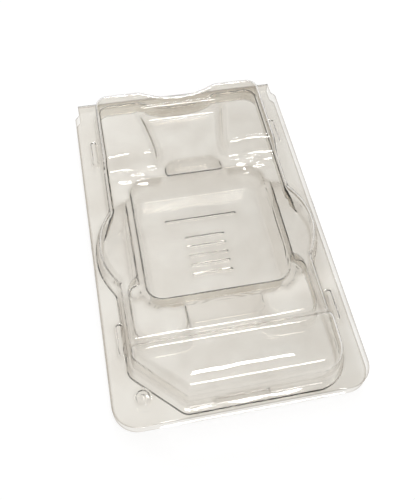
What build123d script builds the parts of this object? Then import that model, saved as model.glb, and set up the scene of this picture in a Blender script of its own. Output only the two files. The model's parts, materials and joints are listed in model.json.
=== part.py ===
from build123d import *
from math import atan, degrees, radians, sqrt, tan
import os

# A vacuum-formed clear clamshell for one square processor, closed.
# Millimetres, +Z up. The opening edge is at -Y and the living hinge at +Y.
# The origin lies under the middle of the pack, on the face that it rests on.

# The sheet, the draft of its walls, its rounded edges and the clearances
sheet = 0.4
draft = 6.5
steep_draft = 4.0
edge_round = 1.2
seat_gap = 0.3
seat_side = 0.6
fold_gap = 0.2

# The flanges, of one outline on both halves
pack_width = 72.0
pack_length = 117.0
front_corner = 7.0
rear_corner = 5.0
flange_gap = 3.8
base_flange_z = 3.7
lid_flange_z = base_flange_z + flange_gap
front_y = -pack_length / 2

# The living hinge: a strip that leans from the lid's flange down to the base's
hinge_width = 69.2
hinge_lean = 0.5
hinge_tab = 2.9
crest_y = pack_length / 2 - hinge_lean - sheet
flange_rear_y = crest_y - hinge_tab

# The raised body of the lid
body_half = 29.2
block_width = 16.7
channel_half = body_half - block_width
body_front_y = front_y + 3.5
body_rear_y = crest_y - 2.4
body_rear_corner = 5.0
body_front_corner = 8.0
key_chamfer = 13.0
key_corner = 2.5
dent_depth = 3.8
dent_half = channel_half
dent_radius = (dent_half**2 + dent_depth**2) / (2 * dent_depth)
dent_corner = 6.0
block_rise = 7.9
land_rise = 3.6
block_z = lid_flange_z + block_rise
land_z = lid_flange_z + land_rise

# The two rear blocks with the channel between them, and the front block
rear_block_y = 23.7
front_block_y = -36.0
block_slope = 55.0
channel_front_y = 10.0
channel_rear_y = 45.7
channel_corner = 3.0

# The finger bulges beside the pocket
bulge_y = -3.3
bulge_reach = 4.5
bulge_half_length = 13.0
bulge_radius = (bulge_half_length**2 + bulge_reach**2) / (2 * bulge_reach)
bulge_blend = 6.0

# Thumb notch, snap ribs and snap button of the lid
notch_x = -1.0
notch_width = 16.0
notch_depth = 1.0
notch_height = 5.0
rib_length = 10.7
rib_width = 2.4
rib_height = 1.1
rib_gap = 0.7
rib_rows_y = (35.0, -33.5)
button_x = -27.4
button_y = -50.6
button_radius = 1.5
button_height = 0.6

# The base tray stands out from the lid's body by this margin
tray_margin = 1.1
floor_z = sheet
plateau_z = land_z - sheet - seat_gap
plateau_depth = plateau_z - floor_z

# The processor pocket and its frame
pocket_y = -2.1
pocket_floor = 40.2
pocket_rim = 43.1
pocket_corner = 5.0
pocket_draft = degrees(atan((pocket_rim - pocket_floor) / 2 / plateau_depth))
frame_side = 2.2
frame_front = 2.8
frame_corner = 7.5

# The plateau behind the pocket, with the recess that meets the channel
plateau_in = sheet + land_rise * tan(radians(draft)) + seat_side
shoulder_y = 8.6
shoulder_half = 21.3
shoulder_rear_y = 13.0
recess_half = 9.0
recess_rear_y = 25.1
recess_depth = 4.0
recess_corner = 3.0

# Platforms round the frame's two front corners, a little lower than the frame
platform_z = 9.4
platform_inner_x = 10.6
platform_outer_x = 27.6
platform_rear_y = -13.2
platform_front_y = -35.8
platform_corner = 5.5

# Plain stiffening ribs in the pocket floor
floor_rib_height = 0.5
floor_rib_width = 1.3
floor_rib_length = 13.0
floor_rib_pitch = 3.4
floor_rib_count = 5
long_rib_length = 24.0
long_rib_y = 8.5


def soften(edges, inset):
    """A round on the outer face, or on the inner face the bevel that touches the same round's inner arc."""
    if inset:
        chamfer(edges, length=(2 - sqrt(2)) * (edge_round - inset))
    else:
        fillet(edges, radius=edge_round)


def flange_outline(rear_y):
    """The rounded flange with the hinge tab behind it."""
    with BuildSketch() as outline:
        with Locations((0, (front_y + flange_rear_y) / 2)):
            Rectangle(pack_width, flange_rear_y - front_y)
        fillet(outline.vertices().group_by(Axis.Y)[0], radius=front_corner)
        fillet(outline.vertices().group_by(Axis.Y)[-1], radius=rear_corner)
        with Locations((0, (rear_y + flange_rear_y - rear_corner) / 2)):
            Rectangle(hinge_width, rear_y - flange_rear_y + rear_corner)
    return outline.sketch


def body_outline(inset, bulged):
    """The lid's body in plan: a keyed front corner, a dented rear edge, finger bulges."""
    key_points = ((-body_half, body_front_y + key_chamfer), (key_chamfer - body_half, body_front_y))
    with BuildSketch() as outline:
        with BuildLine():
            Polyline(
                (body_half, body_rear_y),
                (-body_half, body_rear_y),
                *key_points,
                (body_half, body_front_y),
                close=True,
            )
        make_face()
        for point in key_points:
            fillet(outline.vertices().sort_by_distance(point)[0], radius=key_corner)
        fillet(outline.vertices().sort_by_distance((body_half, body_front_y))[0], radius=body_front_corner)
        for side in (-1, 1):
            fillet(outline.vertices().sort_by_distance((side * body_half, body_rear_y))[0], radius=body_rear_corner)
        with Locations((0, body_rear_y - dent_depth + dent_radius)):
            Circle(dent_radius, mode=Mode.SUBTRACT)
        for side in (-1, 1):
            fillet(outline.vertices().sort_by_distance((side * dent_half, body_rear_y))[0], radius=dent_corner)
        if bulged:
            for side in (-1, 1):
                with Locations((side * (body_half + bulge_reach - bulge_radius), bulge_y)):
                    Circle(bulge_radius)
                for end in (-1, 1):
                    meeting = (side * body_half, bulge_y + end * bulge_half_length)
                    fillet(outline.vertices().sort_by_distance(meeting)[0], radius=bulge_blend)
        if inset:
            offset(amount=-inset)
    return outline.sketch


def block_zone(foot_y, far_y, inset):
    """The length that a block fills: a sloped face at foot_y, open towards far_y."""
    way = 1 if far_y > foot_y else -1
    back = inset * tan(radians(block_slope / 2))
    run = (block_rise - land_rise) / tan(radians(block_slope))
    foot = foot_y + way * (back - run)
    top = foot_y + way * (back + run)
    low_z = 2 * land_z - block_z - inset
    high_z = block_z - inset
    with BuildPart() as zone:
        with BuildSketch(Plane.YZ):
            with BuildLine():
                Polyline((foot, low_z), (top, high_z), (far_y, high_z), (far_y, low_z), close=True)
            make_face()
        extrude(amount=pack_width / 2, both=True)
    return zone.part


def blocks(inset):
    """The rear blocks joined by a bar behind the channel, and the front block."""
    with BuildPart() as raised:
        with BuildSketch(Plane.XY.offset(lid_flange_z - inset)):
            add(body_outline(inset, False))
        extrude(amount=block_rise, taper=draft)
        zones = block_zone(rear_block_y, pack_length, inset) + block_zone(front_block_y, -pack_length, inset)
        add(zones, mode=Mode.INTERSECT)
        with BuildSketch(Plane.XY.offset(block_z - inset)):
            with Locations((0, (channel_front_y + channel_rear_y) / 2)):
                RectangleRounded(
                    2 * (channel_half + inset),
                    channel_rear_y - channel_front_y + 2 * inset,
                    channel_corner + inset,
                )
        extrude(amount=land_rise - block_rise, taper=draft, mode=Mode.SUBTRACT)
        soften(raised.edges().group_by(Axis.Z)[-1], inset)
    return raised.part


def land(inset):
    """The low part of the lid's body, with the finger bulges."""
    with BuildPart() as low:
        with BuildSketch(Plane.XY.offset(lid_flange_z - inset)):
            add(body_outline(inset, True))
        extrude(amount=land_rise, taper=draft)
        soften(low.edges().group_by(Axis.Z)[-1], inset)
    return low.part


def lid_skin(inset):
    """The solid under the lid's upper face, or with inset = sheet under its lower face."""
    foot_z = lid_flange_z - inset
    with BuildPart() as skin:
        add(blocks(inset))
        add(land(inset))
        with BuildSketch(Plane.YZ.offset(notch_x - notch_width / 2 - inset)):
            with BuildLine():
                Polyline(
                    (body_front_y - 1, foot_z),
                    (body_front_y + notch_depth + inset, foot_z),
                    (body_front_y + notch_height * tan(radians(draft)) + inset, foot_z + notch_height),
                    (body_front_y - 1, foot_z + notch_height),
                    close=True,
                )
            make_face()
        extrude(amount=notch_width + 2 * inset, mode=Mode.SUBTRACT)
        with BuildSketch(Plane.XY.offset(foot_z)):
            Rectangle(pack_width + 2, pack_length + 2)
        extrude(amount=-lid_flange_z)
        with BuildSketch(Plane.XY.offset(foot_z)):
            for row_y in rib_rows_y:
                with Locations((0, row_y)):
                    with GridLocations(2 * (body_half + rib_gap) + rib_width, 1, 2, 1):
                        SlotOverall(rib_length - 2 * inset, rib_width - 2 * inset, rotation=90)
        extrude(amount=rib_height)
        with BuildSketch(Plane.XY.offset(foot_z)):
            with Locations((button_x, button_y)):
                Circle(button_radius - inset)
        extrude(amount=button_height)
    return skin.part


def base_skin(inset):
    """The solid under the base's upper face, or with inset = sheet under its lower face."""
    rim_z = base_flange_z - inset
    top_z = plateau_z - inset
    frame_x = pocket_rim / 2 + frame_side - inset
    frame_front_y = pocket_y - pocket_rim / 2 - frame_front + inset
    frame_rear_y = pocket_y + pocket_rim / 2
    with BuildPart() as skin:
        with BuildSketch(Plane.XY.offset(rim_z)):
            Rectangle(pack_width + 2, pack_length + 2)
        extrude(amount=-2 * base_flange_z)
        with BuildSketch(Plane.XY.offset(rim_z)):
            add(body_outline(-tray_margin - inset, True))
            with Locations((0, shoulder_y + inset)):
                Rectangle(pack_width, pack_length, align=(Align.CENTER, Align.MAX), mode=Mode.INTERSECT)
        extrude(amount=floor_z - base_flange_z, taper=draft, mode=Mode.SUBTRACT)
        with BuildSketch(Plane.XY.offset(top_z)):
            add(body_outline(plateau_in + inset, False))
            with BuildLine():
                Polyline(
                    (pack_width, pack_length),
                    (-pack_width, pack_length),
                    (-pack_width, shoulder_y + inset),
                    (-body_half, shoulder_y + inset),
                    (-shoulder_half, shoulder_rear_y + inset),
                    (shoulder_half, shoulder_rear_y + inset),
                    (body_half, shoulder_y + inset),
                    (pack_width, shoulder_y + inset),
                    close=True,
                )
            make_face(mode=Mode.INTERSECT)
        extrude(amount=-plateau_depth, taper=-steep_draft)
        with BuildSketch(Plane.XY.offset(top_z)):
            with Locations((0, (frame_front_y + frame_rear_y) / 2)):
                RectangleRounded(2 * frame_x, frame_rear_y - frame_front_y, frame_corner - inset)
        extrude(amount=-plateau_depth, taper=-steep_draft)
        with BuildSketch(Plane.XY.offset(platform_z - inset)):
            with Locations((0, (platform_rear_y + platform_front_y) / 2)):
                with GridLocations(platform_inner_x + platform_outer_x, 1, 2, 1):
                    RectangleRounded(
                        platform_outer_x - platform_inner_x - 2 * inset,
                        platform_rear_y - platform_front_y - 2 * inset,
                        platform_corner - inset,
                    )
        extrude(amount=floor_z - platform_z, taper=-steep_draft)
        with BuildSketch(Plane.XY.offset(top_z)):
            with Locations((0, pocket_y)):
                RectangleRounded(pocket_rim + 2 * inset, pocket_rim + 2 * inset, pocket_corner + inset)
        extrude(amount=-plateau_depth, taper=pocket_draft, mode=Mode.SUBTRACT)
        with BuildSketch(Plane.XY.offset(top_z)):
            with Locations((0, (pocket_y + recess_rear_y + inset) / 2)):
                RectangleRounded(
                    2 * (recess_half + inset),
                    recess_rear_y - pocket_y + inset,
                    recess_corner + inset,
                )
        extrude(amount=-recess_depth, taper=draft, mode=Mode.SUBTRACT)
    return skin.part


def hinge_strip():
    """The strip of sheet between the two fold lines."""
    top_z = lid_flange_z - fold_gap / 2
    foot_z = base_flange_z - sheet
    with BuildPart() as strip:
        with BuildSketch(Plane.YZ):
            with BuildLine():
                Polyline(
                    (crest_y, top_z),
                    (crest_y + hinge_lean, base_flange_z),
                    (crest_y, base_flange_z),
                    (crest_y, foot_z),
                    (crest_y + sheet + hinge_lean, foot_z),
                    (crest_y + sheet + hinge_lean, base_flange_z),
                    (crest_y + sheet, top_z),
                    close=True,
                )
            make_face()
        extrude(amount=hinge_width / 2, both=True)
    return strip.part


with BuildPart() as base_tray:
    add(base_skin(0))
    add(base_skin(sheet), mode=Mode.SUBTRACT)
    with BuildSketch():
        add(flange_outline(crest_y + hinge_lean))
    extrude(amount=plateau_z + 1, mode=Mode.INTERSECT)
    add(hinge_strip())
    with BuildSketch(Plane.XY.offset(floor_z)):
        with Locations((0, pocket_y - floor_rib_pitch)):
            with GridLocations(1, floor_rib_pitch, 1, floor_rib_count):
                SlotOverall(floor_rib_length, floor_rib_width)
        with Locations((0, long_rib_y)):
            SlotOverall(long_rib_length, floor_rib_width)
    extrude(amount=floor_rib_height)
base_tray.part.label = "base_tray"

with BuildPart() as lid:
    add(lid_skin(0))
    add(lid_skin(sheet), mode=Mode.SUBTRACT)
    with BuildSketch():
        add(flange_outline(crest_y - fold_gap / 2))
    extrude(amount=block_z + 1, mode=Mode.INTERSECT)
lid.part.label = "lid"

os.makedirs("parts", exist_ok=True)
export_step(base_tray.part, "parts/base_tray.step")
export_step(lid.part, "parts/lid.step")
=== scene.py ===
"""Looks of the clear clamshell pack: its formed sheets, the table under it, lamps and camera."""

import json

import bpy
import numpy as np
from mathutils import Matrix, Vector


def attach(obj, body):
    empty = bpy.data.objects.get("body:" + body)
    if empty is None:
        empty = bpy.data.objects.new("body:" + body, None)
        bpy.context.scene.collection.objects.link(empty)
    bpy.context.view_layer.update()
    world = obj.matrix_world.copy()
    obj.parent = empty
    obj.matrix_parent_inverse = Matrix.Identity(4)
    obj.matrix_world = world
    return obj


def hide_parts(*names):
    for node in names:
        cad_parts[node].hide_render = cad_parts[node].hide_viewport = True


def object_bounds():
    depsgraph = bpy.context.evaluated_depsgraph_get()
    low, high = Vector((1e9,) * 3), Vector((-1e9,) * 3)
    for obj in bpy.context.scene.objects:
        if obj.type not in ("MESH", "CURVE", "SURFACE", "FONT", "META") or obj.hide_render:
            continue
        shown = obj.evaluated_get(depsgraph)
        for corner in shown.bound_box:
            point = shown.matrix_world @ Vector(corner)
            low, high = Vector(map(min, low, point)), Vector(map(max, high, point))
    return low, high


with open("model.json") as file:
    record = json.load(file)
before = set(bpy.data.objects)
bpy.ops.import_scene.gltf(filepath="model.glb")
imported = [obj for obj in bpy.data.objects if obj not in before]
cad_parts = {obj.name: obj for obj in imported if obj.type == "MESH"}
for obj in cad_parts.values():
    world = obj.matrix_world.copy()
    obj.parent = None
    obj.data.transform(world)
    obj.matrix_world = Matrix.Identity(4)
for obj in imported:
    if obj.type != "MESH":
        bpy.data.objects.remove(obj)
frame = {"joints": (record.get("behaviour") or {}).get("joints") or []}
cad_low, cad_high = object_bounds()

MM = 0.001


def in_mm(metres):
    """A measure of the frame in millimetres, to a hundredth."""
    return round(metres / MM, 2)


# The pack's main sizes, in millimetres, from the CAD model's box and its hinge where they give them
HINGE = frame["joints"][0]["pos_m"]
SHEET = 0.4
HALF_WIDTH = in_mm(cad_high[0])
FRONT_Y = in_mm(cad_low[1])
REAR_Y = in_mm(cad_high[1])
CREST_Y = in_mm(HINGE[1])
BASE_FLANGE_Z = 3.7
LID_FLANGE_Z = in_mm(HINGE[2])
FLOOR_Z = SHEET
TRAY_RISE = BASE_FLANGE_Z - FLOOR_Z
PLATEAU_RISE = 10.0
LAND_RISE = 3.6
BLOCK_RISE = in_mm(cad_high[2]) - LID_FLANGE_Z - LAND_RISE
DRAFT = 6.5
STEEP_DRAFT = 9.0

# The flange: round front corners, edges that droop a little, and rear tabs whose sides slant in
FRONT_CORNER = 7.0
TAB_HALF = 34.6
TAB_START_Y = 52.0
TAB_SLANT = 0.9
LIP_WIDTH = 0.9
LIP_DROOP = 0.15
LIP_END_Y = 100.0
FRONT_DROOP_Y = -53.0
FRONT_DROOP_SLOPE = 0.04

# The hinge strip, from a bend behind the base's flange up to the lid's crest
FOLD_GAP = 0.2
BEND_RADIUS = 0.4
STRIP_LEAN = 0.5
LID_REAR_Y = CREST_Y - FOLD_GAP / 2
BASE_REAR_Y = REAR_Y - SHEET - BEND_RADIUS

# The raised body in plan, with the radii of its corners. Its rear dent is as wide as the channel
BODY_HALF = 29.2
BODY_FRONT_Y = FRONT_Y + 3.5
BODY_REAR_Y = CREST_Y - 2.4
BULGE_Y = -3.3
BULGE_HALF = 13.0
BULGE_APEX = 10.2
CHANNEL_HALF = 12.5
DENT_APEX = 8.33
KEY_CUT = 13.0
FRONT_ROUND = 8.0
REAR_ROUND = 5.0
FOOT_ROUND = 6.0
BULGE_ROUND = 21.0
DENT_ROUND = 22.4
KEY_ROUND = 2.5

# The lid's blocks, and the channel between the rear two
FRONT_FOOT_Y = -36.0
REAR_FOOT_Y = 23.7
BLOCK_LEAN = 35
BLOCK_ROUND = 4.0
CHANNEL_FRONT_Y = 10.0
CHANNEL_REAR_Y = 45.7
CHANNEL_ROUND = 3.0
CHANNEL_INSET = 1.4
CHANNEL_LEAN = 20
CHANNEL_SIDE_ROUND = 2.6
EDGE_ROUND = 1.8
FRONT_EDGE_ROUND = 3.0
WIDER_EDGE_Y = -40.0
CROWN_WIDTH = 7.0
CROWN_RADIUS = 55.0

# Small raised forms of the lid
LEDGE_MIDDLE = (-1.0, -54.6)
LEDGE_HALF = (8.0, 1.2)
LEDGE_RISE = 1.3
SNAP_RIB_X = 31.1
SNAP_RIB_ROWS_Y = (35.0, -33.5)
SNAP_RIB_HALF = (1.3, 5.35)
SNAP_RIB_RISE = 0.9
BUTTON = (-27.4, -50.6)
BUTTON_RADIUS = 2.2
BUTTON_TOP_RADIUS = 0.9
BUTTON_TOP_RISE = 0.3

# The base's tray, plateau and pocket frame
TRAY_MARGIN = 0.73
TRAY_REAR_Y = 8.2
TRAY_RAMP_Y = -43.0
TRAY_RAMP_CURVE = 0.008
PLATEAU_INSET = 1.4
SHOULDER_Y = 8.6
SHOULDER_HALF = 21.3
SHOULDER_REAR_Y = 13.0
FRAME_MIDDLE = (0.0, -3.5)
FRAME_HALF = (23.75, 22.95)
FRAME_ROUND = 7.5

# The platforms beside the frame's front corners, each with a low round boss
PLATFORM_X = 19.1
PLATFORM_Y = -24.5
PLATFORM_HALF = (8.5, 11.3)
PLATFORM_ROUND = 5.5
PLATFORM_MARGIN = 0.63
PLATFORM_RISE = 9.0
BOSS_X = 24.6
BOSS_Y = -20.2
BOSS_RADIUS = 2.4

# The pocket, its recess and the ribs in its floor
POCKET_MIDDLE = (0.0, -2.1)
POCKET_HALF = (20.1, 20.1)
POCKET_ROUND = 3.55
POCKET_LEAN = 8.25
POCKET_RIM_HALF = (21.4, 21.4)
POCKET_RIM_ROUND = 5.0
RECESS_MIDDLE = (0.0, 20.8)
RECESS_HALF = (8.2, 3.85)
RECESS_ROUND = 3.0
RECESS_REAR_Y = 24.6
RECESS_DEPTH = 2.8
RECESS_RAMP_Y = 20.0
RECESS_RAMP_LENGTH = 3.4
RIB_ROW_Y = -5.5
RIB_PITCH = 3.4
RIB_HALF = (6.5, 0.65)
LONG_RIB_MIDDLE = (0.0, 8.5)
LONG_RIB_HALF = (12.0, 0.65)

# The grids of points on the sheets
COLUMNS = 176
LID_ROWS = 262
BASE_ROWS = 250


def rounded_outline(corners, steps=28):
    """A closed outline: at each corner, an arc of the corner's radius that touches both sides."""
    points = np.array([corner[:2] for corner in corners], float)
    radii = np.array([corner[2] for corner in corners], float)
    back = np.roll(points, 1, axis=0) - points
    ahead = np.roll(points, -1, axis=0) - points
    back /= np.linalg.norm(back, axis=1)[:, None]
    ahead /= np.linalg.norm(ahead, axis=1)[:, None]
    half = np.arccos(np.clip((back * ahead).sum(axis=1), -1, 1)) / 2
    middle = back + ahead
    middle /= np.linalg.norm(middle, axis=1)[:, None]
    centre = points + middle * (radii / np.sin(half))[:, None]
    start = points + back * (radii / np.tan(half))[:, None] - centre
    end = points + ahead * (radii / np.tan(half))[:, None] - centre
    first = np.arctan2(start[:, 1], start[:, 0])
    turn = (np.arctan2(end[:, 1], end[:, 0]) - first + np.pi) % (2 * np.pi) - np.pi
    angle = first[:, None] + turn[:, None] * np.linspace(0, 1, steps)
    arc = centre[:, None] + radii[:, None, None] * np.stack([np.cos(angle), np.sin(angle)], axis=-1)
    return arc.reshape(-1, 2)


def distance_to(outline, x, y):
    """Distance to the nearest side of a closed outline. It is negative inside, where a ray from the point
    crosses the outline an odd number of times."""
    nearest = np.full(x.shape, np.inf)
    inside = np.zeros(x.shape, bool)
    for (ax, ay), (bx, by) in zip(outline, np.roll(outline, -1, axis=0)):
        ex, ey = bx - ax, by - ay
        along = np.clip(((x - ax) * ex + (y - ay) * ey) / (ex * ex + ey * ey + 1e-12), 0, 1)
        nearest = np.minimum(nearest, (x - ax - along * ex) ** 2 + (y - ay - along * ey) ** 2)
        if ey:
            inside ^= ((ay > y) != (by > y)) & (x < ex * (y - ay) / ey + ax)
    return np.where(inside, -1, 1) * np.sqrt(nearest)


def box_distance(x, y, middle, half, radius):
    """Distance to a rectangle with rounded corners, negative inside."""
    across = np.abs(x - middle[0]) - half[0] + radius
    along = np.abs(y - middle[1]) - half[1] + radius
    outside = np.hypot(np.maximum(across, 0), np.maximum(along, 0))
    return outside + np.minimum(np.maximum(across, along), 0) - radius


def hump(place, middle, spread, power=2):
    """1 at the middle, less on both sides: e to the minus of (distance over spread) to a power."""
    return np.exp(-(((place - middle) / spread) ** power))


def formed(out, rise, lean, edge, root):
    """Height over a wall's foot, from the distance outside that foot: 0 outside it, then an arc at the root,
    a wall that leans in, an arc at the edge, and the full rise."""
    slope = np.tan(np.radians(lean))
    turn = np.radians(90 - lean)
    largest = 0.5 * rise / (1 - np.sin(np.radians(lean)))
    edge = np.minimum(edge, largest)
    root = np.minimum(root, largest)
    height = np.clip(-out / slope, 0, rise)
    foot = np.clip(root * np.tan(turn / 2) - out, 0, root * np.sin(turn))
    height = np.where(foot < root * np.sin(turn), root - np.sqrt(np.maximum(root**2 - foot**2, 0)), height)
    top = out + rise * slope + edge * np.tan(turn / 2)
    rounded = rise - edge + np.sqrt(np.maximum(edge**2 - np.clip(top, 0, edge) ** 2, 0))
    height = np.where((top > 0) & (top < edge * np.sin(turn)), rounded, height)
    return np.where(top <= 0, rise, height)


def small_form(out, rise=0.5):
    """A low raised form with wide leaning sides: a button, a boss or a rib."""
    return formed(out, rise, 35, 0.4, 0.3)


def body_outline():
    """The raised body: finger bulges at the sides, a dent at the rear, a key cut at the left front corner."""
    side = [(BODY_HALF, BULGE_Y - BULGE_HALF, FOOT_ROUND), (BODY_HALF + BULGE_APEX, BULGE_Y, BULGE_ROUND)]
    side += [(BODY_HALF, BULGE_Y + BULGE_HALF, FOOT_ROUND), (BODY_HALF, BODY_REAR_Y, REAR_ROUND)]
    side += [(CHANNEL_HALF, BODY_REAR_Y, FOOT_ROUND)]
    dent = [(0.0, BODY_REAR_Y - DENT_APEX, DENT_ROUND)]
    mirrored = [(-x, y, radius) for x, y, radius in side[::-1]]
    key = [(-BODY_HALF, BODY_FRONT_Y + KEY_CUT, KEY_ROUND), (KEY_CUT - BODY_HALF, BODY_FRONT_Y, KEY_ROUND)]
    front = [(BODY_HALF, BODY_FRONT_Y, FRONT_ROUND)]
    return rounded_outline(side + dent + mirrored + key + front)


BODY = body_outline()


def waves(x, y):
    """The gentle unevenness of formed film: the sum of three slow sine waves across the plan."""
    total = np.sin(0.9 * y + 0.12 * x) + np.sin(0.37 * y - 0.2 * x + 1.0) + np.sin(0.61 * x + 0.25 * y)
    return 0.004 * total


def pull_marks(x, y):
    """Small folds in the film, in front of the rear blocks and beside the key corner: two sine waves that
    cross, times a hump at each of these places."""
    fold = np.sin(0.45 * x + 1.7 * y) + 0.8 * np.sin(0.7 * x - 1.2 * y + 1.0)
    rear = hump(y, 20.0, 4.5) * hump(np.abs(x), 20.0, 6.5, power=4)
    key = hump(x, -25.5, 2.5) * hump(y, -39.0, 3.0)
    return (0.11 * rear + 0.07 * key) * fold


def flange_lip(x, y):
    """How far the trimmed front and side edges of a flange droop: by the square of the way into the lip,
    which follows a rounded rectangle that ends far behind the pack."""
    half_length = (LIP_END_Y - FRONT_Y) / 2
    inside = -box_distance(x, y, (0.0, FRONT_Y + half_length), (HALF_WIDTH, half_length), FRONT_CORNER)
    return LIP_DROOP * np.clip(1 - inside / LIP_WIDTH, 0, 1) ** 2


def channel_distance(x, y):
    """Distance to the channel's outline: a rounded rectangle, drawn in near its middle, wider at its rear."""
    waist = CHANNEL_HALF + 2.2 * np.clip((y - 30.0) / 15.0, -0.6, 1) ** 2 - 0.9 * hump(y, 27.0, 7.0)
    middle_y = (CHANNEL_FRONT_Y + CHANNEL_REAR_Y) / 2
    half = (CHANNEL_HALF, (CHANNEL_REAR_Y - CHANNEL_FRONT_Y) / 2)
    return box_distance(x * CHANNEL_HALF / waist, y, (0.0, middle_y), half, CHANNEL_ROUND)


def block_height(x, y):
    """Height of the blocks over the land: the front block's slope, and the rear slope, which sags a little
    at its foot, times the blocks' sides along the channel."""
    front = formed(y - FRONT_FOOT_Y, BLOCK_RISE, BLOCK_LEAN, BLOCK_ROUND, BLOCK_ROUND)
    sag = 0.5 * hump(np.abs(x), 20.5, 4.0)
    rear = formed(REAR_FOOT_Y + sag - y, BLOCK_RISE, BLOCK_LEAN, BLOCK_ROUND, 3.4)
    inner = -(channel_distance(x, y) + CHANNEL_INSET)
    beside = formed(inner, BLOCK_RISE, CHANNEL_LEAN, CHANNEL_SIDE_ROUND, CHANNEL_SIDE_ROUND)
    return front + rear * beside / BLOCK_RISE


def lid_details(x, y):
    """Height of the four snap ribs and of the snap button, a low disc with a smaller disc on it."""
    height = np.zeros_like(x)
    for side in (-1, 1):
        for row_y in SNAP_RIB_ROWS_Y:
            rib = box_distance(x, y, (SNAP_RIB_X * side, row_y), SNAP_RIB_HALF, 1.2)
            height += formed(rib, SNAP_RIB_RISE, 30, 0.5, 0.4)
    button = np.hypot(x - BUTTON[0], y - BUTTON[1])
    height += small_form(button - BUTTON_RADIUS)
    return height + formed(button - BUTTON_TOP_RADIUS, BUTTON_TOP_RISE, 35, 0.2, 0.2)


def lid_height(x, y):
    """The lid: the raised body's wall, up to the land and the blocks on it, with a crowned front block, the
    thumb ledge, the small forms, and the film's unevenness on all that is raised."""
    body = distance_to(BODY, x, y)
    edge = EDGE_ROUND + (FRONT_EDGE_ROUND - EDGE_ROUND) * np.clip((WIDER_EDGE_Y - y) / 8.0, 0, 1)
    height = formed(body, LAND_RISE + block_height(x, y), DRAFT, edge, 1.0)
    crown = np.clip(body + CROWN_WIDTH, 0, CROWN_WIDTH) ** 2 / (2 * CROWN_RADIUS) * (y < 0)
    height -= crown * np.clip((height - LAND_RISE) / BLOCK_RISE, 0, 1)
    ledge = box_distance(x, y, LEDGE_MIDDLE, LEDGE_HALF, 0.8)
    height = np.maximum(height, formed(ledge, LEDGE_RISE, 25, 0.4, 0.3))
    height += lid_details(x, y)
    height += (waves(x, y) + pull_marks(x, y)) * np.clip(height / 2, 0, 1)
    return LID_FLANGE_Z + height - flange_lip(x, y)


def shoulder(x, y):
    """Distance in front of the line where the rear plateau begins. Between the body's side and the pocket
    this line runs back at a slant."""
    back = SHOULDER_REAR_Y - SHOULDER_Y
    side = BODY_HALF - SHOULDER_HALF
    slant = ((SHOULDER_HALF - np.abs(x)) * back + (SHOULDER_REAR_Y - y) * side) / np.hypot(back, side)
    return np.where(np.abs(x) > SHOULDER_HALF, slant, SHOULDER_REAR_Y - y)


def tray_height(x, y, wall):
    """The base's flange and its sunk tray, whose floor rises by the square of the way to the front."""
    height = formed(-np.maximum(wall - TRAY_MARGIN, y - TRAY_REAR_Y), TRAY_RISE, DRAFT, 0.6, 0.6)
    return height + TRAY_RAMP_CURVE * np.clip(TRAY_RAMP_Y - y, 0, 12) ** 2 * (1 - height / TRAY_RISE)


def platform_height(x, y):
    """The two platforms beside the pocket frame's front corners: a rounded rectangle and its mirror image."""
    platform = box_distance(np.abs(x), y, (PLATFORM_X, PLATFORM_Y), PLATFORM_HALF, PLATFORM_ROUND)
    return formed(platform - PLATFORM_MARGIN, PLATFORM_RISE, STEEP_DRAFT, 1.8, 1.5)


def pocket_height(x, y):
    """The pocket: its floor and its leaning walls, up to the plateau's height."""
    pocket = box_distance(x, y, POCKET_MIDDLE, POCKET_HALF, POCKET_ROUND)
    return formed(-pocket, PLATEAU_RISE, POCKET_LEAN, 0.8, 1.3)


def recess_height(x, y):
    """The recess behind the pocket: a rounded rectangle that widens to the front, with a sloping floor."""
    widening = 1 - 0.02 * (RECESS_REAR_Y - y)
    recess = box_distance(x * widening, y, RECESS_MIDDLE, RECESS_HALF, RECESS_ROUND)
    sunk = RECESS_DEPTH * np.clip((y - RECESS_RAMP_Y) / RECESS_RAMP_LENGTH, 0, 1) ** 0.8
    return PLATEAU_RISE - sunk + formed(-recess, RECESS_DEPTH, 12, 0.6, 0.8)


def floor_ribs(x, y):
    """Height of the plain ribs in the pocket's floor: five short ones in a row, a long one behind them."""
    height = small_form(box_distance(x, y, LONG_RIB_MIDDLE, LONG_RIB_HALF, 0.6))
    for step in range(-2, 3):
        rib = box_distance(x, y, (0.0, RIB_ROW_Y + RIB_PITCH * step), RIB_HALF, 0.6)
        height += small_form(rib)
    return height


def base_height(x, y):
    """The base: the tray, then the plateau and the pocket's frame, which are of one height and whose walls
    lean out from their top edge, then the platforms with a low boss on each. The pocket and the recess are
    cut into these, ribs stand in the floor, and the flange droops a little at the front."""
    wall = distance_to(BODY, x, y)
    height = tray_height(x, y, wall)
    plateau = np.maximum(wall + PLATEAU_INSET, shoulder(x, y))
    pocket_frame = box_distance(x, y, FRAME_MIDDLE, FRAME_HALF, FRAME_ROUND)
    rise = PLATEAU_RISE - height
    foot = np.minimum(plateau, pocket_frame) - rise * np.tan(np.radians(STEEP_DRAFT))
    height += formed(foot, rise, STEEP_DRAFT, 0.6, 1.0)
    height = np.maximum(height, platform_height(x, y))
    height += small_form(np.hypot(np.abs(x) - BOSS_X, y - BOSS_Y) - BOSS_RADIUS)
    height = np.minimum(height, pocket_height(x, y))
    height = np.minimum(height, recess_height(x, y))
    front_droop = FRONT_DROOP_SLOPE * np.clip(FRONT_DROOP_Y - y, 0, 6)
    return FLOOR_Z + height + floor_ribs(x, y) - flange_lip(x, y) - front_droop


def softened(field, passes):
    """A field after some passes of a 1-2-1 average along both of its axes."""
    for _ in range(passes):
        for axis in (0, 1):
            field = (np.roll(field, 1, axis) + 2 * field + np.roll(field, -1, axis)) / 4
    return field


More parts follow.
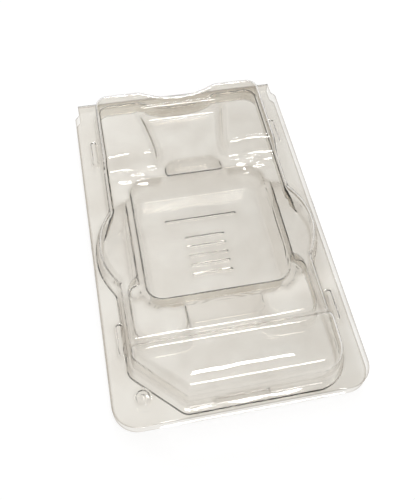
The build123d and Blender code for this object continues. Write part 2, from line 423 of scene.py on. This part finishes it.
def steepness(height, rear_y, pitch):
    """How steep the form is on an even raster, as a share of a slope of 1.5, at most 1, and softened."""
    margin = 1.5
    across = np.arange(-HALF_WIDTH - margin, HALF_WIDTH + margin, pitch)
    x, y = np.meshgrid(across, np.arange(FRONT_Y - margin, rear_y + 2, pitch))
    steep = np.minimum(np.hypot(*np.gradient(height(x, y), pitch)) / 1.5, 1)
    return x[0, 0], y[0, 0], softened(steep, 8)


def relaxed_grid(height, rear_y, rows):
    """A grid inside the flange's outline. Each inner point moves to the average of its four neighbours,
    weighted by the steepness between them, so that the lines gather at the walls."""
    pull, rounds, corner_rows, damping, pitch = 4.0, 600, 24, 0.6, 0.25
    arc = FRONT_CORNER * (1 - np.cos(np.linspace(0, np.pi / 2, corner_rows)))
    straight = np.linspace(FRONT_CORNER, rear_y - FRONT_Y, rows - corner_rows + 1)
    y = FRONT_Y + np.append(arc[:-1], straight)
    turned = 1 - np.clip((y - FRONT_Y) / FRONT_CORNER, 0, 1)
    width = HALF_WIDTH - FRONT_CORNER * (1 - np.sqrt(1 - turned**2))
    width = np.where(y > TAB_START_Y, np.maximum(TAB_HALF, width - (y - TAB_START_Y) * TAB_SLANT), width)
    x, y = np.meshgrid(np.linspace(-1, 1, COLUMNS), y)
    x = x * width[:, None]
    first_x, first_y, steep = steepness(height, rear_y, pitch)
    for _ in range(rounds):
        i, j = ((x - first_x) / pitch).astype(int), ((y - first_y) / pitch).astype(int)
        u, v = (x - first_x) / pitch - i, (y - first_y) / pitch - j
        near = steep[j, i] * (1 - u) + steep[j, i + 1] * u
        far = steep[j + 1, i] * (1 - u) + steep[j + 1, i + 1] * u
        weight = 1 + pull * (near * (1 - v) + far * v)
        middle = weight[1:-1, 1:-1]
        sides = [weight[1:-1, :-2] + middle, weight[1:-1, 2:] + middle]
        sides += [weight[:-2, 1:-1] + middle, weight[2:, 1:-1] + middle]
        for place in (x, y):
            mean = sides[0] * place[1:-1, :-2] + sides[1] * place[1:-1, 2:]
            mean += sides[2] * place[:-2, 1:-1] + sides[3] * place[2:, 1:-1]
            place[1:-1, 1:-1] += damping * (mean / sum(sides) - place[1:-1, 1:-1])
    return x, y


def formed_surface(height, rear_y, rows):
    """Points on the upper face, and their normals from the height's slope in both directions."""
    x, y = relaxed_grid(height, rear_y, rows)
    step = 0.03
    slope_x = (height(x + step, y) - height(x - step, y)) / (2 * step)
    slope_y = (height(x, y + step) - height(x, y - step)) / (2 * step)
    normals = np.stack([-slope_x, -slope_y, np.ones_like(x)], axis=-1)
    normals /= np.linalg.norm(normals, axis=-1)[..., None]
    return np.stack([x, y, height(x, y)], axis=-1), normals


def painted_dark_lines(x, y):
    """Painted dark lines: a narrow hump along the pocket's rear rim corners and along the slanting ends of
    the shoulder.
    """
    far = 9.0
    rim = box_distance(x, y, POCKET_MIDDLE, POCKET_RIM_HALF, POCKET_RIM_ROUND)
    rim = np.where((y > 12) & (np.abs(x) > 11), rim, far)
    slant = np.where((y > 8) & (np.abs(x) > 21), shoulder(x, y), far)
    return 1.3 * hump(np.minimum(np.abs(rim), np.abs(slant)), 0.0, 0.35)


def painted_shade_marks(points, normals):
    """Painted shade: the share by which the film's tint is painted darker. It is how tightly the sheet is
    bent, the normal's turn per millimetre, from 0 in nearly flat film to 1 in sharp corners. Marks on the
    flange, the rear wall and the pocket's floor are fainter, painted dark lines and painted shade on steep
    walls are added, and the rim is painted fully dark at 1."""
    mild_bend, sharp_bend, steep_shade = 0.6, 1.5, 0.4
    shade_marks = np.zeros(points.shape[:2])
    for axis in (0, 1):
        turn = np.linalg.norm(np.diff(normals, axis=axis), axis=-1)
        turn /= np.linalg.norm(np.diff(points, axis=axis), axis=-1) + 1e-6
        ahead, behind = [slice(None)] * 2, [slice(None)] * 2
        ahead[axis], behind[axis] = slice(1, None), slice(None, -1)
        shade_marks[tuple(ahead)] = np.maximum(shade_marks[tuple(ahead)], turn)
        shade_marks[tuple(behind)] = np.maximum(shade_marks[tuple(behind)], turn)
    shade_marks = np.clip((shade_marks - mild_bend) / (sharp_bend - mild_bend), 0, 1)
    x, y, z = np.moveaxis(points, -1, 0)
    outer = distance_to(BODY, x, y)
    flange = outer > 1.0
    rear_wall = (y > 9) & (outer > -3.2)
    pocket_floor = (box_distance(x, y, POCKET_MIDDLE, (17, 17), 3) < 0) & (z < 2)
    for place, share in ((flange, 0.3), (rear_wall, 0.45), (pocket_floor, 0.4)):
        shade_marks *= np.where(place, share, 1)
    # Painted dark lines along the pocket's rim corners and the shoulder's slanting ends
    shade_marks = np.maximum(shade_marks, np.where(z < PLATEAU_RISE + FLOOR_Z + 0.1, painted_dark_lines(x, y), 0))
    shade_marks = softened(shade_marks, 2)
    # Painted shade on steep walls
    shade_marks = np.maximum(shade_marks, steep_shade * np.clip(1 - normals[..., 2], 0, 1) ** 0.6)
    # Painted shade: the rim is painted fully dark
    shade_marks[[0, -1]] = 1
    shade_marks[:, [0, -1]] = 1
    return shade_marks


def sheet_piece(name, body, node, points, normals, finish):
    """A sheet of even thickness: the upper face, a copy of it set down along its normals, and a strip
    round the rim."""
    rows, columns = points.shape[:2]
    count = rows * columns
    lower = points - SHEET * normals
    number = np.arange(count).reshape(rows, columns)
    quads = np.stack([number[:-1, :-1], number[:-1, 1:], number[1:, 1:], number[1:, :-1]], axis=-1)
    quads = quads.reshape(-1, 4)
    rim = np.concatenate([number[0, :-1], number[:-1, -1], number[-1, :0:-1], number[:0:-1, 0]])
    after = np.roll(rim, -1)
    band = np.stack([rim, rim + count, after + count, after], axis=-1)
    faces = np.concatenate([quads, quads[:, ::-1] + count, band])
    corners = np.concatenate([points.reshape(-1, 3), lower.reshape(-1, 3)]) * MM
    mesh = bpy.data.meshes.new(name)
    mesh.from_pydata(corners.tolist(), [], faces.tolist())
    sides = corners[band]
    outward = np.cross(sides[:, 1] - sides[:, 0], sides[:, 3] - sides[:, 0])
    outward /= np.linalg.norm(outward, axis=1)[:, None] + 1e-12
    upward = np.concatenate([normals.reshape(-1, 3), -normals.reshape(-1, 3)])
    loops = np.concatenate([upward[faces[: -len(band)].ravel()], np.repeat(outward, 4, axis=0)])
    mesh.polygons.foreach_set("use_smooth", np.ones(len(faces), bool))
    mesh.normals_split_custom_set(loops.tolist())
    # Painted shade: the share by which the film's tint is darkened, stored at each point
    shade_marks = mesh.attributes.new("bend_shade", "FLOAT", "POINT")
    shade_marks.data.foreach_set("value", np.tile(painted_shade_marks(points, normals).ravel(), 2))
    mesh.materials.append(finish)
    made = bpy.data.objects.new(name, mesh)
    bpy.context.scene.collection.objects.link(made)
    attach(made, body)
    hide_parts(node)
    return made


def hinge_rows(points, normals):
    """More rows behind the base's flange: an arc for the bend, then the straight hinge strip, which leans
    forwards, up to the lid's crest."""
    bend_rows, strip_rows = 6, 10
    lean = np.arctan2(STRIP_LEAN, LID_FLANGE_Z - BASE_FLANGE_Z)
    angle = np.linspace(0, np.pi / 2 + lean, bend_rows)[1:]
    bend_y = BEND_RADIUS * np.sin(angle)
    bend_z = BEND_RADIUS * (1 - np.cos(angle))
    strip_rise = LID_FLANGE_Z - FOLD_GAP / 2 - BASE_FLANGE_Z - bend_z[-1]
    upward = np.linspace(0, 1, strip_rows)[1:] * strip_rise
    along_y = np.append(bend_y, bend_y[-1] - upward * np.tan(lean))
    along_z = np.append(bend_z, bend_z[-1] + upward)
    steps = np.stack([np.zeros_like(along_y), along_y, along_z], axis=-1)
    angles = np.append(angle, np.full(len(upward), angle[-1]))
    facing = np.stack([np.zeros_like(angles), -np.sin(angles), np.cos(angles)], axis=-1)
    turned = np.repeat(facing[:, None], points.shape[1], axis=1)
    return np.concatenate([points, points[-1] + steps[:, None]]), np.concatenate([normals, turned])


class Value:
    """A shader socket that takes part in Python arithmetic, adding a Math node for each step."""

    def __init__(self, maker, socket):
        self.maker = maker
        self.socket = socket

    def with_number(self, operation, other, swapped=False):
        pair = (other, self) if swapped else (self, other)
        return self.maker.node("ShaderNodeMath", {"operation": operation}, pair)

    def __add__(self, other):
        return self.with_number("ADD", other)

    __radd__ = __add__

    def __sub__(self, other):
        return self.with_number("SUBTRACT", other)

    def __rsub__(self, other):
        return self.with_number("SUBTRACT", other, swapped=True)

    def __mul__(self, other):
        return self.with_number("MULTIPLY", other)

    __rmul__ = __mul__

    def larger(self, other):
        return self.with_number("MAXIMUM", other)


class Finish:
    """The nodes of a material or of the world, under construction."""

    def __init__(self, owner, end="ShaderNodeOutputMaterial"):
        owner.use_nodes = True
        self.owner = owner
        self.end = end
        self.tree = owner.node_tree
        self.tree.nodes.clear()

    def node(self, kind, settings=None, inputs=(), output=0):
        """Adds a node, makes its settings, then fills its sockets by place or by name."""
        made = self.tree.nodes.new(kind)
        for name, value in (settings or {}).items():
            setattr(made, name, value)
        filled = inputs.items() if isinstance(inputs, dict) else enumerate(inputs)
        for place, value in filled:
            if isinstance(value, Value):
                self.tree.links.new(value.socket, made.inputs[place])
            else:
                made.inputs[place].default_value = value
        return Value(self, made.outputs[output])

    def mixed_colour(self, share, first, second):
        """The first colour where the share is 0, the second where it is 1. A Mix node's colour sockets
        are its inputs 6 and 7 and its output 2."""
        return self.node("ShaderNodeMix", {"data_type": "RGBA"}, {0: share, 6: first, 7: second}, 2)

    def ray(self, kind):
        """1 on rays of one kind, 0 on others."""
        return self.node("ShaderNodeLightPath", output=f"Is {kind} Ray")

    def show(self, surface):
        """Ends the nodes in this shader."""
        end = self.tree.nodes.new(self.end)
        self.tree.links.new(surface.socket, end.inputs["Surface"])
        return self.owner


def clear_sheet():
    """Clear glossy film that bends light. Its tint is uneven, and it is painted darker where the sheet is
    bent or steep,
    along a few crisp lines and at its rim: painted shade in place of the dark lines where bent film turns
    light away. It lets light on to what lies behind without a dark shadow."""
    thin_film, thick_film = (0.94, 0.927, 0.895, 1.0), (0.895, 0.875, 0.838, 1.0)
    painted_shade_film, passed_light = (0.66, 0.625, 0.575, 1.0), (0.925, 0.917, 0.905, 1.0)
    finish = Finish(bpy.data.materials.new("clear_sheet"))
    where = finish.node("ShaderNodeTexCoord", output="Object")
    ripple = finish.node("ShaderNodeTexNoise", None, {"Vector": where, "Scale": 160.0, "Detail": 2.0})
    ripples = {"Strength": 0.03, "Distance": 0.0004, "Height": ripple}
    bump = finish.node("ShaderNodeBump", None, ripples, "Normal")
    cloud = finish.node("ShaderNodeTexNoise", None, {"Vector": where, "Scale": 90.0, "Detail": 3.0})
    depth = finish.node("ShaderNodeMapRange", None, (cloud, 0.35, 0.65))
    bend_shade = finish.node("ShaderNodeAttribute", {"attribute_name": "bend_shade"}, output="Fac")
    # Painted shade: the tint turns towards the dark painted-shade colour by the share stored on the sheet
    tint = finish.mixed_colour(bend_shade, finish.mixed_colour(depth, thin_film, thick_film), painted_shade_film)
    settings = {"Base Color": tint, "Roughness": 0.02, "IOR": 1.5, "Normal": bump}
    sheet = finish.node("ShaderNodeBsdfPrincipled", None, {**settings, "Transmission Weight": 1.0})
    passed = finish.node("ShaderNodeBsdfTransparent", None, {"Color": passed_light})
    lighting = finish.ray("Shadow").larger(finish.ray("Diffuse"))
    return finish.show(finish.node("ShaderNodeMixShader", None, (lighting, sheet, passed)))


def white_table():
    """A matt white table, shown nearly as bright as in the photograph, with the pack's soft shadow on it.
    Half of what the camera sees of it, straight or through the film or in its gloss, is an even glow."""
    finish = Finish(bpy.data.materials.new("white_table"))
    paper = finish.node("ShaderNodeBsdfDiffuse", None, {"Color": (0.95, 0.95, 0.95, 1.0)})
    glow = finish.node("ShaderNodeEmission", None, {"Color": (1, 1, 1, 1), "Strength": 1.25})
    seen = finish.ray("Camera").larger(finish.ray("Transmission")).larger(finish.ray("Glossy"))
    return finish.show(finish.node("ShaderNodeMixShader", None, (seen * 0.5, paper, glow)))


def table_top():
    """A flat square, a little under the pack."""
    half, z = 3.0, -0.0002
    mesh = bpy.data.meshes.new("table_top")
    corners = [(-half, -half, z), (half, -half, z), (half, half, z), (-half, half, z)]
    mesh.from_pydata(corners, [], [(0, 1, 2, 3)])
    mesh.materials.append(white_table())
    top = bpy.data.objects.new("table_top", mesh)
    bpy.context.scene.collection.objects.link(top)


def room():
    """A room's soft light: a bright ceiling overhead, dim towards both sides, and an even pale horizon. The
    camera sees plain white."""
    horizon, ceiling_dim, ceiling_gain = 0.65, 0.1, 0.8
    world = bpy.data.worlds.new("room")
    finish = Finish(world, "ShaderNodeOutputWorld")
    direction = finish.node("ShaderNodeTexCoord", output="Generated")
    across = finish.node("ShaderNodeSeparateXYZ", None, (direction,), "X")
    upward = finish.node("ShaderNodeSeparateXYZ", None, (direction,), "Z")
    smooth = {"interpolation_type": "SMOOTHSTEP"}
    left = finish.node("ShaderNodeMapRange", smooth, (across, -0.5, -0.05))
    right = finish.node("ShaderNodeMapRange", smooth, (across, 0.32, -0.05))
    high = finish.node("ShaderNodeMapRange", smooth, (upward, 0.25, 0.6))
    ceiling = ceiling_dim + ceiling_gain * left * right
    strength = horizon + high * (ceiling - horizon)
    light = finish.node("ShaderNodeBackground", None, {"Color": (1, 1, 1, 1), "Strength": strength})
    white = finish.node("ShaderNodeBackground", None, {"Color": (1, 1, 1, 1), "Strength": 1.0})
    finish.show(finish.node("ShaderNodeMixShader", None, (finish.ray("Camera"), light, white)))
    bpy.context.scene.world = world


def ceiling_lamp(name, place, size, radiance):
    """A rectangular lamp that faces straight down; its power follows from its area and radiance."""
    data = bpy.data.lights.new(name, "AREA")
    data.shape = "RECTANGLE"
    data.size, data.size_y = size
    data.energy = radiance * np.pi * size[0] * size[1]
    made = bpy.data.objects.new(name, data)
    made.location = place
    bpy.context.scene.collection.objects.link(made)


def photo_camera():
    """The camera, worked out from the corners of the pack in the photograph."""
    place = Vector((-26.719, -107.280, 173.236)) * MM
    look = Vector((0.13104, 0.50822, -0.85120)).normalized()
    up = Vector((0.15072, 0.83841, 0.52379)).normalized()
    right = look.cross(up).normalized()
    up = right.cross(look)
    data = bpy.data.cameras.new("photo_camera")
    data.sensor_width = 36.0
    data.lens = 45.697
    data.clip_start = 0.01
    data.clip_end = 20.0
    made = bpy.data.objects.new("photo_camera", data)
    made.matrix_world = Matrix.Translation(place) @ Matrix((right, up, -look)).transposed().to_4x4()
    bpy.context.scene.collection.objects.link(made)
    bpy.context.scene.camera = made


film = clear_sheet()
sheet_piece("lid_sheet", "lid", "lid", *formed_surface(lid_height, LID_REAR_Y, LID_ROWS), film)
base_rows = hinge_rows(*formed_surface(base_height, BASE_REAR_Y, BASE_ROWS))
sheet_piece("base_sheet", "base_tray", "base_tray", *base_rows, film)

table_top()
room()
ceiling_lamp("middle_tube", (0.236, 0.424, 1.5), (0.325, 0.045), radiance=45.0)
ceiling_lamp("front_panel", (0.25, -0.45, 1.5), (0.5, 0.35), radiance=13.0)
ceiling_lamp("rear_panel", (0.3, 2.2, 1.5), (0.8, 0.6), radiance=22.0)
photo_camera()
bpy.context.scene.view_settings.view_transform = "Standard"
